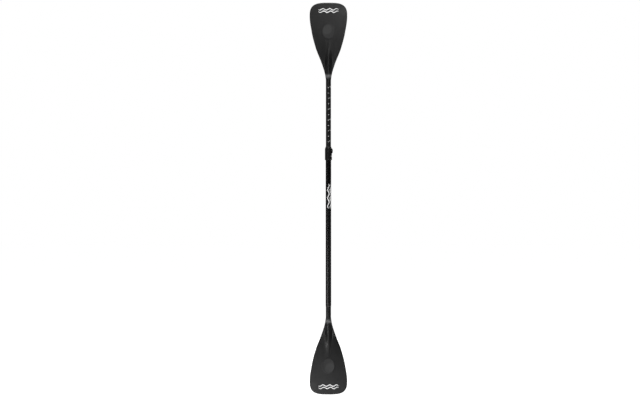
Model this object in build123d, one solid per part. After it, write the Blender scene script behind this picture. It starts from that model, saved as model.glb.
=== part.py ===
from build123d import *
import math
import os

# Double-bladed telescopic paddle. Millimetres, +Z up the shaft, blade faces towards -Y, clamp ears to +X.
# The origin is on the shaft axis, at the middle of the grip.

# Main tube, the lower and wider half of the shaft
MAIN_TUBE_OD = 30.2
MAIN_TUBE_WALL = 0.9
MAIN_TUBE_LENGTH = 817.0
GRIP_ABOVE_LOW_END = 586.0

# Upper tube, which slides and turns inside the main tube
SLIDE_CLEARANCE = 0.15
INNER_TUBE_WALL = 1.3
UPPER_TUBE_SHOWN = 366.0
UPPER_TUBE_OVERLAP = 290.0

# Lower stub tube, glued into the lower blade and buttoned into the main tube
STUB_SHOWN = 65.0
STUB_ENGAGED = 95.0
STOP_RING_HEIGHT = 6.5
STOP_RING_WALL = 0.7
GLUE_GAP = 0.05

# Blades, both from one moulding
BLADE_LENGTH = 421.0
BLADE_WIDTH = 205.4
BLADE_TILT = 7.0
BEND_RADIUS = 200.0
SOCKET_DEPTH = 95.0
SOCKET_FLOOR = 10.0
SLEEVE_MOUTH_WALL = 1.0
SLEEVE_WALL = 3.4
SLEEVE_TAPER_LENGTH = 26.0
BLADE_CORE_THICKNESS = 9.0
BLADE_RIM_THICKNESS = 3.4
BLADE_TIP_THICKNESS = 3.6
TIP_CORNER_DROP = 7.1
TIP_FLAT_SHARE = 0.64
SPINE_LENGTH = 115.0
SPINE_END_WIDTH = 12.0
SPINE_END_THICKNESS = 8.0
SPINE_STATIONS = (0, 0.3, 0.65, 1)
SPINE_FADE = 1.4

# The blade's side, from the tip corner to the neck: share of the length from the tip, share of the half width
BLADE_SIDE = (
    (0.069, 0.927),
    (0.182, 1.0),
    (0.381, 0.892),
    (0.589, 0.673),
    (0.796, 0.343),
)
NECK_FLARE = 1.4
NECK_FLARE_AT = 31.0
CORNER_DIRECTION = (0.45, 1)
NECK_DIRECTION = (-0.1, 1)

# Clamp collar, bonded to the top of the main tube
COLLAR_OD = 38.6
COLLAR_HEIGHT = 74.0
COLLAR_SEAT = 20.0
COLLAR_TOP_WALL = 1.2
COLLAR_SHOULDER = 19.0
SHOULDER_BULGE = (0.36, 0.42)
COLLAR_LIP_RADIUS = 3.2
BAND_CLEARANCE = 0.08
SLOT_WIDTH = 3.0
SLIT_HEIGHT = 2.2
SLIT_ABOVE_SEAT = 1.0

# Clamp ears, bolt and cam lever
EAR_BELOW_TOP = 23.0
EAR_REACH = 24.2
EAR_HALF_HEIGHT = 13.0
EAR_ROOT_X = 15.0
FRONT_EAR_FACE = 10.3
BACK_EAR_FACE = 7.0
BOLT_X = 17.6
BOLT_DIAMETER = 4.0
BOLT_CLEARANCE = 0.2
BOLT_THREAD_GAP = 0.05
BOLT_HEAD_DIAMETER = 7.0
BOLT_HEAD_HEIGHT = 4.0
HEX_ACROSS_FLATS = 3.0
HEX_DEPTH = 2.2
COUNTERBORE_DIAMETER = 7.8
WASHER_DIAMETER = 7.4
WASHER_THICKNESS = 0.8
CAM_WASHER_THICKNESS = 1.2
CAM_WASHER_WIDTH = 8.0
CAM_WASHER_HEIGHT = 17.0
CAM_GAP = 0.3
CAM_RADIUS = 5.6
CAM_THROW = 0.6
PIVOT_DIAMETER = 7.0
PIVOT_CLEARANCE = 0.07
LEVER_HEIGHT = 24.0
LEVER_END_SETBACK = 0.3
LEVER_GAP = 0.6
LEVER_THICKNESS = 4.0
LEVER_SWEEP_END = 122.0
LEVER_LIP = 3.4
KNUCKLE_GAP = 8.4
POCKET_GAP = 0.4
POCKET_ROOT_X = 13.9

# Spring buttons, one at each end of the shaft
BUTTON_DIAMETER = 8.0
BUTTON_HOLE_CLEARANCE = 0.15
BUTTON_FLANGE_DIAMETER = 10.0
BUTTON_FLANGE_HEIGHT = 1.0
BUTTON_FLANGE_GAP = 0.14
BUTTON_PROUD = 2.2
BUTTON_DOME_HEIGHT = 1.6
LOWER_BUTTON_INSET = 35.0
UPPER_BUTTON_INSET = 30.0
CLIP_WIDTH = 6.0
CLIP_THICKNESS = 0.6
CLIP_LENGTH = 50.0
CLIP_TAIL = 6.0
CLIP_BEND_WIDTH = 4.0
CLIP_GAP = 0.3

# Glide ring on the upper tube's end plug
GLIDE_LENGTH = 24.6
GLIDE_CLEARANCE = 0.05
GLIDE_END_GAP = 0.2
JOURNAL_DIAMETER = 20.0
JOURNAL_CLEARANCE = 0.08
PLUG_DEPTH = 25.0
PLUG_FLANGE_HEIGHT = 3.0
PLUG_FLANGE_STEP = 1.2

# Foam plugs that keep water out of the tubes
FOAM_GAP = 0.05
MAIN_FOAM_LENGTH = 70.0
MAIN_FOAM_ABOVE_STUB = 21.0
STUB_FOAM_LENGTH = 45.0
STUB_FOAM_ABOVE_FLOOR = 12.0
UPPER_FOAM_LENGTH = 40.0
UPPER_FOAM_BELOW_SLEEVE = 21.0

# Radii and stations that follow from the sizes above
main_outer_r = MAIN_TUBE_OD / 2
main_inner_r = main_outer_r - MAIN_TUBE_WALL
inner_outer_r = main_inner_r - SLIDE_CLEARANCE
inner_inner_r = inner_outer_r - INNER_TUBE_WALL
socket_r = inner_outer_r + GLUE_GAP

main_low_z = -GRIP_ABOVE_LOW_END
main_high_z = main_low_z + MAIN_TUBE_LENGTH
collar_low_z = main_high_z - COLLAR_SEAT
collar_high_z = collar_low_z + COLLAR_HEIGHT
clamp_z = collar_high_z - EAR_BELOW_TOP
lower_mouth_z = main_low_z - STUB_SHOWN
upper_mouth_z = collar_high_z + UPPER_TUBE_SHOWN
stub_low_z = lower_mouth_z - SOCKET_DEPTH
stub_high_z = main_low_z + STUB_ENGAGED
upper_low_z = collar_high_z - UPPER_TUBE_OVERLAP
upper_high_z = upper_mouth_z + SOCKET_DEPTH
lower_button_z = main_low_z + LOWER_BUTTON_INSET
upper_button_z = upper_mouth_z + UPPER_BUTTON_INSET

cam_washer_face = BACK_EAR_FACE + CAM_WASHER_THICKNESS
pivot_y = cam_washer_face + CAM_GAP + CAM_RADIUS + CAM_THROW
lever_low_z = clamp_z - LEVER_HEIGHT / 2
flange_face_y = math.sqrt(inner_inner_r**2 - (BUTTON_FLANGE_DIAMETER / 2) ** 2) - BUTTON_FLANGE_GAP


def rod(radius, low_z, high_z):
    """Solid cylinder on the shaft axis."""
    return Pos(0, 0, low_z) * Cylinder(radius, high_z - low_z, align=(Align.CENTER, Align.CENTER, Align.MIN))


def sleeve(outer_r, inner_r, low_z, high_z):
    """Open tube on the shaft axis."""
    return rod(outer_r, low_z, high_z) - rod(inner_r, low_z, high_z)


def cross_rod(radius, near_y, far_y, x, z):
    """Solid cylinder along +Y from near_y to far_y."""
    along_y = Plane(origin=(x, near_y, z), x_dir=(1, 0, 0), z_dir=(0, 1, 0))
    return extrude(along_y * Circle(radius), far_y - near_y)


def block(low, high):
    """Box between two corners."""
    size = [b - a for a, b in zip(low, high)]
    return Pos(*low) * Box(*size, align=(Align.MIN, Align.MIN, Align.MIN))


def button_hole(z):
    """Round hole for a spring button through the back of the shaft."""
    return cross_rod(BUTTON_DIAMETER / 2 + BUTTON_HOLE_CLEARANCE, 0, COLLAR_OD, 0, z)


def main_tube():
    """Lower shaft tube with the hole for the lower button."""
    return sleeve(main_outer_r, main_inner_r, main_low_z, main_high_z) - button_hole(lower_button_z)


def upper_tube():
    """Sliding tube with the hole for the upper button."""
    return sleeve(inner_outer_r, inner_inner_r, upper_low_z, upper_high_z) - button_hole(upper_button_z)


def lower_stub_tube():
    """Short tube that joins the lower blade to the main tube."""
    return sleeve(inner_outer_r, inner_inner_r, stub_low_z, stub_high_z) - button_hole(lower_button_z)


def stub_stop_ring():
    """Ring on the stub that the main tube's end stands on."""
    bore_r = inner_outer_r + GLUE_GAP
    return sleeve(inner_outer_r + STOP_RING_WALL, bore_r, main_low_z - STOP_RING_HEIGHT, main_low_z)


def blade_outline():
    """Teardrop face of the blade in XZ, with the sleeve mouth at z = 0 and the tip at the bottom."""
    half = BLADE_WIDTH / 2
    corner = (half * TIP_FLAT_SHARE, TIP_CORNER_DROP - BLADE_LENGTH)
    side = [(half * across, BLADE_LENGTH * (from_tip - 1)) for from_tip, across in BLADE_SIDE]
    sleeve_r = socket_r + SLEEVE_WALL
    neck = [(sleeve_r + NECK_FLARE, -NECK_FLARE_AT), (socket_r, 0)]
    tip = Spline((0, -BLADE_LENGTH), corner, side[0], tangents=((1, 0), CORNER_DIRECTION))
    edge = Spline(side[0], *side[1:], *neck, tangents=(CORNER_DIRECTION, NECK_DIRECTION))
    top = Polyline(neck[-1], (0, 0), (0, -BLADE_LENGTH))
    right_half = make_face(Wire([*tip.edges(), *edge.edges(), *top.edges()]))
    return Plane.XZ * (right_half + mirror(right_half, Plane.YZ))


def blade_sheet():
    """Blade without its sleeve: a lens section swept along the bent mid line, tapered to the tip."""
    bend_z = -(SOCKET_DEPTH + SOCKET_FLOOR)
    run = BLADE_LENGTH + bend_z
    slope = math.tan(math.radians(BLADE_TILT))
    tip_y = -run * slope
    path = FilletPolyline((0, 0, 0), (0, 0, bend_z), (0, 2 * tip_y, bend_z - 2 * run), radius=BEND_RADIUS)

    half = BLADE_WIDTH / 2
    core = BLADE_CORE_THICKNESS / 2
    rim = BLADE_RIM_THICKNESS / 2
    front = ThreePointArc((-half, -rim), (0, -core), (half, -rim))
    back = ThreePointArc((half, rim), (0, core), (-half, rim))
    ends = [Line((half, -rim), (half, rim)), Line((-half, rim), (-half, -rim))]
    section = make_face(Wire([*front.edges(), *ends[0].edges(), *back.edges(), *ends[1].edges()]))
    lens = sweep(section, path=path)

    tip = BLADE_TIP_THICKNESS / 2
    taper = Polygon(
        (-core, 0), (-core, bend_z), (tip_y - tip, -BLADE_LENGTH),
        (tip_y + tip, -BLADE_LENGTH), (core, bend_z), (core, 0),
        align=None,
    )
    wedge = extrude(Plane.YZ * taper, half, both=True)
    face = extrude(blade_outline(), BLADE_WIDTH, both=True)
    return lens & wedge & face


def blade_spine():
    """Rounded ridge that carries the sleeve's thickness into the sheet and fades out on it."""
    start_z = -SOCKET_DEPTH
    bend_z = start_z - SOCKET_FLOOR
    slope = math.tan(math.radians(BLADE_TILT))
    start_r = socket_r + SLEEVE_WALL
    end_half = (SPINE_END_WIDTH / 2, SPINE_END_THICKNESS / 2)
    sections = []
    for share in SPINE_STATIONS:
        z = start_z - SPINE_LENGTH * share
        y = min(0, (z - bend_z) * slope)
        fade = (1 - share) ** SPINE_FADE
        width = end_half[0] + (start_r - end_half[0]) * (1 - share)
        depth = end_half[1] + (start_r - end_half[1]) * fade
        sections.append(Pos(0, y, z) * Ellipse(width, depth))
    return loft(sections)


def blade():
    """Whole blade with its socket, hanging from the sleeve mouth at z = 0."""
    mouth_r = socket_r + SLEEVE_MOUTH_WALL
    sleeve_r = socket_r + SLEEVE_WALL
    floor_z = -(SOCKET_DEPTH + SOCKET_FLOOR)
    cone = Pos(0, 0, -SLEEVE_TAPER_LENGTH) * Cone(
        sleeve_r, mouth_r, SLEEVE_TAPER_LENGTH, align=(Align.CENTER, Align.CENTER, Align.MIN)
    )
    barrel = rod(sleeve_r, floor_z, -SLEEVE_TAPER_LENGTH)
    solid = blade_sheet() + blade_spine() + barrel + cone
    return solid - rod(socket_r, -SOCKET_DEPTH, 0)


def lower_blade():
    """Blade on the stub tube."""
    return Pos(0, 0, lower_mouth_z) * blade()


def upper_blade():
    """Blade on the upper tube, turned end for end, with a hole for the upper button."""
    return Pos(0, 0, upper_mouth_z) * Rot(0, 180, 0) * blade() - button_hole(upper_button_z)


def collar_barrel():
    """Outside of the collar: rounded lip, straight barrel and a rounded shoulder down to the tube."""
    outer_r = COLLAR_OD / 2
    top_r = inner_outer_r + COLLAR_TOP_WALL
    shoulder_z = collar_high_z - COLLAR_SHOULDER
    lip_r = outer_r - COLLAR_LIP_RADIUS
    lip_z = collar_low_z + COLLAR_LIP_RADIUS
    lip_mid = COLLAR_LIP_RADIUS * math.sqrt(0.5)
    bulge_in, bulge_down = SHOULDER_BULGE
    shoulder_mid = (outer_r - (outer_r - top_r) * bulge_in, collar_high_z - COLLAR_SHOULDER * bulge_down)
    outline = [
        Line((0, collar_low_z), (lip_r, collar_low_z)),
        ThreePointArc((lip_r, collar_low_z), (lip_r + lip_mid, lip_z - lip_mid), (outer_r, lip_z)),
        Line((outer_r, lip_z), (outer_r, shoulder_z)),
        ThreePointArc((outer_r, shoulder_z), shoulder_mid, (top_r, collar_high_z)),
        Polyline((top_r, collar_high_z), (0, collar_high_z), (0, collar_low_z)),
    ]
    edges = [edge for piece in outline for edge in piece.edges()]
    return revolve(Plane.XZ * make_face(Wire(edges)), Axis.Z)


def collar_ears():
    """Round-topped block on +X that the clamp bolt pulls together."""
    side = Plane.XZ * Pos(EAR_ROOT_X, clamp_z) * Ellipse(EAR_REACH - EAR_ROOT_X, EAR_HALF_HEIGHT)
    reach = rod(EAR_REACH, clamp_z - EAR_HALF_HEIGHT, clamp_z + EAR_HALF_HEIGHT)
    depth = block((0, -FRONT_EAR_FACE, clamp_z - COLLAR_HEIGHT), (COLLAR_OD, BACK_EAR_FACE, clamp_z + COLLAR_HEIGHT))
    return extrude(side, COLLAR_OD, both=True) & reach & depth


def lever_pocket():
    """Space in the collar where the lever's cam end turns."""
    low_z = lever_low_z - POCKET_GAP
    high_z = lever_low_z + LEVER_HEIGHT + POCKET_GAP
    flat = block((POCKET_ROOT_X, BACK_EAR_FACE, low_z), (COLLAR_OD, COLLAR_OD, high_z))
    turn = Pos(BOLT_X, pivot_y, 0) * rod(CAM_RADIUS + CAM_THROW + POCKET_GAP, low_z, high_z)
    return flat + turn


def clamp_collar():
    """Collar with a glued lower sleeve and a split upper band that grips the sliding tube."""
    collar = collar_barrel() + collar_ears()
    collar -= rod(main_outer_r + GLUE_GAP, collar_low_z, main_high_z)
    collar -= rod(inner_outer_r + BAND_CLEARANCE, main_high_z, collar_high_z)
    slit_z = main_high_z + SLIT_ABOVE_SEAT
    collar -= block((0, -SLOT_WIDTH / 2, slit_z), (COLLAR_OD, SLOT_WIDTH / 2, collar_high_z))
    collar -= block((0, -COLLAR_OD, slit_z), (COLLAR_OD, COLLAR_OD, slit_z + SLIT_HEIGHT))
    collar -= lever_pocket()
    collar -= cross_rod(BOLT_DIAMETER / 2 + BOLT_CLEARANCE, -COLLAR_OD, COLLAR_OD, BOLT_X, clamp_z)
    seat_y = BOLT_HEAD_HEIGHT + WASHER_THICKNESS - FRONT_EAR_FACE
    return collar - cross_rod(COUNTERBORE_DIAMETER / 2, -COLLAR_OD, seat_y, BOLT_X, clamp_z)


def clamp_bolt():
    """Socket-head bolt from the front ear into the pivot barrel."""
    head_y = BOLT_HEAD_HEIGHT - FRONT_EAR_FACE
    head = cross_rod(BOLT_HEAD_DIAMETER / 2, -FRONT_EAR_FACE, head_y, BOLT_X, clamp_z)
    shank = cross_rod(BOLT_DIAMETER / 2, head_y, pivot_y + PIVOT_DIAMETER / 2, BOLT_X, clamp_z)
    front = Plane(origin=(BOLT_X, -FRONT_EAR_FACE, clamp_z), x_dir=(1, 0, 0), z_dir=(0, 1, 0))
    socket = extrude(front * RegularPolygon(HEX_ACROSS_FLATS / 2, 6, major_radius=False), HEX_DEPTH)
    return head + shank - socket


def bolt_washer():
    """Plain washer under the bolt head."""
    near_y = BOLT_HEAD_HEIGHT - FRONT_EAR_FACE
    far_y = near_y + WASHER_THICKNESS
    hole_r = BOLT_DIAMETER / 2 + BOLT_CLEARANCE
    return cross_rod(WASHER_DIAMETER / 2, near_y, far_y, BOLT_X, clamp_z) - cross_rod(
        hole_r, near_y, far_y, BOLT_X, clamp_z
    )


def cam_washer():
    """Wear plate between the back ear and the lever's cam."""
    left_x = POCKET_ROOT_X + POCKET_GAP
    half = CAM_WASHER_HEIGHT / 2
    plate = block(
        (left_x, BACK_EAR_FACE, clamp_z - half),
        (left_x + CAM_WASHER_WIDTH, cam_washer_face, clamp_z + half),
    )
    hole_r = BOLT_DIAMETER / 2 + BOLT_CLEARANCE
    return plate - cross_rod(hole_r, 0, COLLAR_OD, BOLT_X, clamp_z)


def pivot_barrel():
    """Round cross nut that the lever turns on."""
    low_z = lever_low_z + LEVER_END_SETBACK
    high_z = lever_low_z + LEVER_HEIGHT - LEVER_END_SETBACK
    barrel = Pos(BOLT_X, pivot_y, 0) * rod(PIVOT_DIAMETER / 2, low_z, high_z)
    thread_r = BOLT_DIAMETER / 2 + BOLT_THREAD_GAP
    return barrel - cross_rod(thread_r, 0, 2 * COLLAR_OD, BOLT_X, clamp_z)


def lever_plan():
    """Lever seen from above: eccentric eye, arm round the back of the collar and a finger lip."""
    inner_r = COLLAR_OD / 2 + LEVER_GAP
    mid_r = inner_r + LEVER_THICKNESS / 2
    outer_r = inner_r + LEVER_THICKNESS
    start = math.degrees(math.atan2(pivot_y, BOLT_X))
    arm = ring_sector(inner_r, outer_r, start, LEVER_SWEEP_END)
    end = math.radians(LEVER_SWEEP_END)
    tip = Pos(mid_r * math.cos(end), mid_r * math.sin(end)) * Circle(LEVER_THICKNESS / 2)
    lip_r = mid_r + LEVER_LIP
    lip = Pos(lip_r * math.cos(end), lip_r * math.sin(end)) * Circle(LEVER_THICKNESS / 2)
    eye = Pos(BOLT_X, pivot_y - CAM_THROW) * Circle(CAM_RADIUS)
    return arm + make_hull([*tip.edges(), *lip.edges()]) + eye


def ring_sector(inner_r, outer_r, start, end):
    """Flat ring sector about the shaft axis, angles in degrees."""
    size = end - start
    inner = CenterArc((0, 0), inner_r, start, size)
    outer = CenterArc((0, 0), outer_r, start, size)
    sides = [Line(inner @ 0, outer @ 0), Line(inner @ 1, outer @ 1)]
    return make_face(Wire([*inner.edges(), *outer.edges(), *sides[0].edges(), *sides[1].edges()]))


def clamp_lever():
    """Cam lever with two knuckles on the pivot barrel and a gap for the bolt between them."""
    lever = Pos(0, 0, lever_low_z) * extrude(lever_plan(), LEVER_HEIGHT)
    pivot = Pos(BOLT_X, pivot_y, 0)
    high_z = lever_low_z + LEVER_HEIGHT
    lever -= pivot * rod(PIVOT_DIAMETER / 2 + PIVOT_CLEARANCE, lever_low_z, high_z)
    gap_r = CAM_RADIUS + CAM_THROW + POCKET_GAP
    return lever - pivot * rod(gap_r, clamp_z - KNUCKLE_GAP / 2, clamp_z + KNUCKLE_GAP / 2)


def spring_button(z, wall_outer_r):
    """Domed button with a flange inside the tube, standing proud of the outer wall."""
    radius = BUTTON_DIAMETER / 2
    tip_y = wall_outer_r + BUTTON_PROUD
    dome_r = (radius**2 + BUTTON_DOME_HEIGHT**2) / (2 * BUTTON_DOME_HEIGHT)
    low_y = flange_face_y - BUTTON_FLANGE_HEIGHT
    body = cross_rod(radius, low_y, tip_y, 0, z) & Pos(0, tip_y - dome_r, z) * Sphere(dome_r)
    return body + cross_rod(BUTTON_FLANGE_DIAMETER / 2, low_y, flange_face_y, 0, z)


def lower_button():
    """Button that locks the stub tube in the main tube."""
    return spring_button(lower_button_z, main_outer_r)


def upper_button():
    """Button that locks the upper blade on the upper tube."""
    inset_share = min(1, UPPER_BUTTON_INSET / SLEEVE_TAPER_LENGTH)
    wall = SLEEVE_MOUTH_WALL + (SLEEVE_WALL - SLEEVE_MOUTH_WALL) * inset_share
    return spring_button(upper_button_z, socket_r + wall)


def clip_spring(z, direction):
    """V-shaped leaf spring: one leg under the button, one along the opposite wall, bend along direction."""
    half_width = CLIP_WIDTH / 2
    button_y = flange_face_y - BUTTON_FLANGE_HEIGHT - CLIP_THICKNESS / 2
    wall_y = CLIP_GAP + CLIP_THICKNESS / 2 - math.sqrt(inner_inner_r**2 - half_width**2)
    tail_z = z - direction * CLIP_TAIL
    seat_z = z + direction * CLIP_TAIL
    bend_z = z + direction * CLIP_LENGTH
    path = FilletPolyline(
        (button_y, tail_z), (button_y, seat_z), (wall_y + CLIP_BEND_WIDTH, bend_z), (wall_y, bend_z), (wall_y, tail_z),
        radius=CLIP_BEND_WIDTH / 3,
    )
    strip = trace(path, CLIP_THICKNESS)
    return extrude(Plane.YZ * strip, half_width, both=True)


def lower_clip_spring():
    """Leaf spring behind the lower button, bent towards the blade."""
    return clip_spring(lower_button_z, -1)


def upper_clip_spring():
    """Leaf spring behind the upper button, bent towards the blade."""
    return clip_spring(upper_button_z, 1)


def upper_end_plug():
    """Plug glued in the upper tube's lower end, with a journal and a flange for the glide ring."""
    journal_low = upper_low_z - GLIDE_LENGTH - 2 * GLIDE_END_GAP
    body = rod(inner_inner_r - GLUE_GAP, upper_low_z, upper_low_z + PLUG_DEPTH)
    journal = rod(JOURNAL_DIAMETER / 2, journal_low, upper_low_z)
    flange = rod(inner_outer_r - PLUG_FLANGE_STEP, journal_low - PLUG_FLANGE_HEIGHT, journal_low)
    return body + journal + flange


def glide_ring():
    """Plain bearing ring that runs in the main tube and lets the upper shaft turn."""
    high_z = upper_low_z - GLIDE_END_GAP
    bore_r = JOURNAL_DIAMETER / 2 + JOURNAL_CLEARANCE
    return sleeve(main_inner_r - GLIDE_CLEARANCE, bore_r, high_z - GLIDE_LENGTH, high_z)


def main_foam_plug():
    """Foam bulkhead in the main tube, above the stub tube."""
    low_z = stub_high_z + MAIN_FOAM_ABOVE_STUB
    return rod(main_inner_r - FOAM_GAP, low_z, low_z + MAIN_FOAM_LENGTH)


def stub_foam_plug():
    """Foam plug in the stub tube, near the bottom of the blade's socket."""
    low_z = stub_low_z + STUB_FOAM_ABOVE_FLOOR
    return rod(inner_inner_r - FOAM_GAP, low_z, low_z + STUB_FOAM_LENGTH)


def upper_foam_plug():
    """Foam plug in the upper tube, below the upper blade."""
    high_z = upper_mouth_z - UPPER_FOAM_BELOW_SLEEVE
    return rod(inner_inner_r - FOAM_GAP, high_z - UPPER_FOAM_LENGTH, high_z)


PIECES = (
    main_tube,
    main_foam_plug,
    clamp_collar,
    clamp_bolt,
    bolt_washer,
    cam_washer,
    pivot_barrel,
    clamp_lever,
    lower_stub_tube,
    stub_stop_ring,
    stub_foam_plug,
    lower_clip_spring,
    lower_button,
    lower_blade,
    glide_ring,
    upper_end_plug,
    upper_tube,
    upper_foam_plug,
    upper_clip_spring,
    upper_button,
    upper_blade,
)

os.makedirs("parts", exist_ok=True)
for piece in PIECES:
    export_step(piece(), f"parts/{piece.__name__}.step")
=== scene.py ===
import logging
import math
from contextlib import contextmanager
from dataclasses import dataclass, field
from enum import Enum
from typing import Callable, Iterator, Sequence

import bmesh
import bpy
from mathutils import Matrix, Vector


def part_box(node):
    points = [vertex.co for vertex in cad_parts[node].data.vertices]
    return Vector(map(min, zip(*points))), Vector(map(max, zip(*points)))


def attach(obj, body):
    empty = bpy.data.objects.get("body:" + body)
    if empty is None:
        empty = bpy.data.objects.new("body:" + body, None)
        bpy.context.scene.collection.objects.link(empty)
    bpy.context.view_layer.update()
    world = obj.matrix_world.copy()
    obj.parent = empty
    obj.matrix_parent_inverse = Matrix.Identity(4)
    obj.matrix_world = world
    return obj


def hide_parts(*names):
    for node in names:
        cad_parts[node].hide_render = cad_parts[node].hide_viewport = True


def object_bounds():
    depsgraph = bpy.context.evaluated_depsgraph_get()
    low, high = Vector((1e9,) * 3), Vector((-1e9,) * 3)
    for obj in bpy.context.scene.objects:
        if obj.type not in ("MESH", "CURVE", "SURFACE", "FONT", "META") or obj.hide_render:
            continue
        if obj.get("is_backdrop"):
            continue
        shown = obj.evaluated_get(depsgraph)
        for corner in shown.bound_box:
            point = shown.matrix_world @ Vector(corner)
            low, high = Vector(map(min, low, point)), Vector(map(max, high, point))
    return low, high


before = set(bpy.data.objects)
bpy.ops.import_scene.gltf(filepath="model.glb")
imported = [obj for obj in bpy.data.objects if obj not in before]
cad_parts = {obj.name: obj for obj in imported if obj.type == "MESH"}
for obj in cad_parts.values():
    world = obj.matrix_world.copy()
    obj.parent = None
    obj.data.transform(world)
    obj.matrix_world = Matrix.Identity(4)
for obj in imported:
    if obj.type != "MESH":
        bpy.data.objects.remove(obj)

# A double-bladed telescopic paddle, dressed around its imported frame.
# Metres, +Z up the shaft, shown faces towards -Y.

MM = 0.001
log = logging.getLogger("paddle")

Point = tuple[float, float, float]
Setting = float | tuple | str | bool
Piece = bpy.types.Object
Finish = bpy.types.Material
Element = bmesh.types.BMVert | bmesh.types.BMEdge | bmesh.types.BMFace


class Body(Enum):
    """The frame's rigid bodies that new pieces ride on."""

    MAIN = "main_shaft"
    UPPER = "upper_shaft"
    LEVER = "clamp_lever"


def held(value: float) -> float:
    """A value held between 0 and 1."""
    return min(max(value, 0.0), 1.0)


def grey(value: float, blue: float | None = None) -> Point:
    """A grey, or one with a little blue in it."""
    return value, value, blue or value


def smooth_step(low: float, high: float, value: float) -> float:
    """Rises smoothly from 0 at low to 1 at high."""
    share = held((value - low) / (high - low))
    return share * share * (3 - 2 * share)


def smooth_max(first: float, second: float, width: float) -> float:
    """The larger of two heights, with their meeting line rounded off.

    Args:
        first: one height.
        second: the other height.
        width: how far apart the two still blend; 0 gives a sharp meeting.

    Returns:
        The blended height.
    """
    if width <= 0:
        return max(first, second)
    near = max(width - abs(first - second), 0.0) / width
    return max(first, second) + near * near * width / 4


# ---- modelling by hand with Blender's operators: a piece starts as a primitive and ends at the origin


def clear() -> None:
    """Leaves nothing selected."""
    if bpy.context.object and bpy.context.object.mode != "OBJECT":
        bpy.ops.object.mode_set(mode="OBJECT")
    bpy.ops.object.select_all(action="DESELECT")


def hold(piece: Piece) -> None:
    """Makes a piece the only selected and the active one."""
    clear()
    piece.select_set(True)
    bpy.context.view_layer.objects.active = piece


def take(name: str) -> Piece:
    """Names the primitive that was just added, and its mesh.

    Args:
        name: the piece's name.

    Returns:
        The piece.
    """
    piece = bpy.context.object
    piece.name = piece.data.name = name
    return piece


def apply(piece: Piece) -> None:
    """Applies a piece's place, turn and size to its mesh."""
    hold(piece)
    bpy.ops.object.transform_apply(location=True, rotation=True, scale=True)


@contextmanager
def editing(piece: Piece) -> Iterator[None]:
    """Edit mode on one piece, with nothing selected at first.

    Args:
        piece: the piece that is shaped.
    """
    hold(piece)
    bpy.ops.object.mode_set(mode="EDIT")
    bpy.ops.mesh.select_mode(type="VERT")
    bpy.ops.mesh.select_all(action="DESELECT")
    yield
    bpy.ops.object.mode_set(mode="OBJECT")


def pick(piece: Piece, kind: str, test: Callable[[Element], bool]) -> None:
    """In edit mode, selects exactly the edges or faces that pass a test.

    Args:
        piece: the piece in edit mode.
        kind: EDGE or FACE.
        test: says whether an edge or a face is selected.
    """
    bpy.ops.mesh.select_mode(type=kind)
    bpy.ops.mesh.select_all(action="DESELECT")
    shape = bmesh.from_edit_mesh(piece.data)
    for element in {"EDGE": shape.edges, "FACE": shape.faces}[kind]:
        if test(element):
            element.select_set(True)
    shape.select_flush_mode()
    bmesh.update_edit_mesh(piece.data)


def settle(piece: Piece, angle: float = 40.0) -> Piece:
    """Applies every modifier and the transform, and shades the piece smooth up to an angle.

    Args:
        piece: the piece to finish.
        angle: degrees over which an edge stays sharp.

    Returns:
        The same piece, at the origin.
    """
    hold(piece)
    for name in [modifier.name for modifier in piece.modifiers]:
        bpy.ops.object.modifier_apply(modifier=name)
    apply(piece)
    bpy.ops.object.shade_smooth_by_angle(angle=math.radians(angle))
    return piece


def tidy(piece: Piece, distance: float = 1e-6) -> None:
    """Merges doubled points and turns all faces outwards.

    Args:
        piece: the piece, in object mode.
        distance: how near two points are to merge.
    """
    with editing(piece):
        bpy.ops.mesh.select_all(action="SELECT")
        bpy.ops.mesh.remove_doubles(threshold=distance)
        bpy.ops.mesh.normals_make_consistent(inside=False)


def film(piece: Piece, thickness: float) -> None:
    """Makes a sheet of ink a thin closed plate that faces outwards.

    Args:
        piece: the sheet.
        thickness: the ink's thickness, half to each side of the sheet.
    """
    wall = piece.modifiers.new("ink_film", "SOLIDIFY")
    wall.thickness = thickness
    wall.offset = 0.0
    settle(piece)
    tidy(piece)


def join(pieces: Sequence[Piece], name: str) -> Piece:
    """Joins pieces into one object.

    Args:
        pieces: what is joined, the first one is kept.
        name: the joined piece's name.

    Returns:
        The joined piece.
    """
    clear()
    for piece in pieces:
        piece.select_set(True)
    bpy.context.view_layer.objects.active = pieces[0]
    bpy.ops.object.join()
    return take(name)


def turned(name: str, profile: Sequence[tuple[float, float]], segments: int, height: float) -> Piece:
    """A closed turned shape about the shaft axis: a circle, extruded and scaled from ring to ring.

    Args:
        name: the piece's name.
        profile: radius and height of each ring in turn; the last ring closes on the first.
        segments: points in each ring.
        height: added to every ring's height.

    Returns:
        The piece.
    """
    clear()
    radius, level = profile[0]
    bpy.ops.mesh.primitive_circle_add(vertices=segments, radius=radius, location=(0, 0, height + level))
    piece = take(name)
    settle(piece)
    with editing(piece):
        bpy.ops.mesh.select_all(action="SELECT")
        for next_radius, next_level in [*profile[1:], profile[0]]:
            bpy.ops.mesh.extrude_region_move(TRANSFORM_OT_translate={"value": (0, 0, next_level - level)})
            factor = next_radius / radius
            bpy.ops.transform.resize(value=(factor, factor, 1), center_override=(0, 0, height + next_level))
            radius, level = next_radius, next_level
    tidy(piece)
    return piece


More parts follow.
